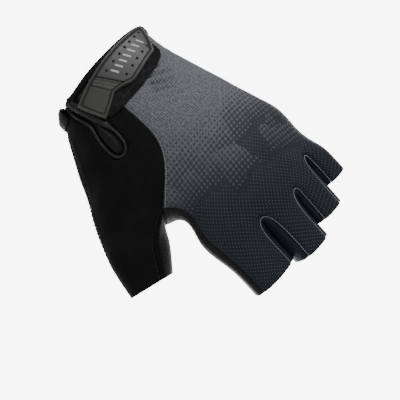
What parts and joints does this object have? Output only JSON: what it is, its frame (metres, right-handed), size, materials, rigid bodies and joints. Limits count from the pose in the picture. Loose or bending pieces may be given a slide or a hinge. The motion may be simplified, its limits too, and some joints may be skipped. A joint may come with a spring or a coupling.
{
  "type": "cycling glove",
  "caption": "Half-finger cycling glove for a left hand, in its worn form: knit back, suede-like thumb, moulded closing tab over a pile patch, teardrop wrist slit.",
  "frame": {"origin": "centre of the wrist opening, in the plane of the cuff", "axes": "-Y towards the fingertips, +Z out of the back of the hand, the thumb on -X"},
  "size_m": [0.1374, 0.1621, 0.0674],
  "materials": {
    "knit_mesh": "matt knit, grey fading to navy black",
    "palm_leather": "matt synthetic leather",
    "suede_cloth": "matt suede-like cloth",
    "smooth_cloth": "smooth matt cloth",
    "satin_cloth": "smooth satin cloth",
    "stretch_cloth": "stretch cloth, soft sheen",
    "binding_tape": "matt tape",
    "welt_cloth": "matt rolled cloth",
    "tab_rubber": "moulded, satin",
    "pile": "matt loop pile"
  },
  "bodies": {
    "root": {"back_panel": "knit_mesh", "palm_panel": "palm_leather", "thumb_panel": "suede_cloth", "thumb_gusset": "smooth_cloth", "fourchette_index_middle": "satin_cloth", "fourchette_middle_ring": "satin_cloth", "fourchette_ring_little": "satin_cloth", "slit_gusset": "stretch_cloth", "cuff_binding": "binding_tape", "slit_binding": "welt_cloth", "strap_tab": "tab_rubber", "loop_patch": "pile"}
  },
  "joints": []
}
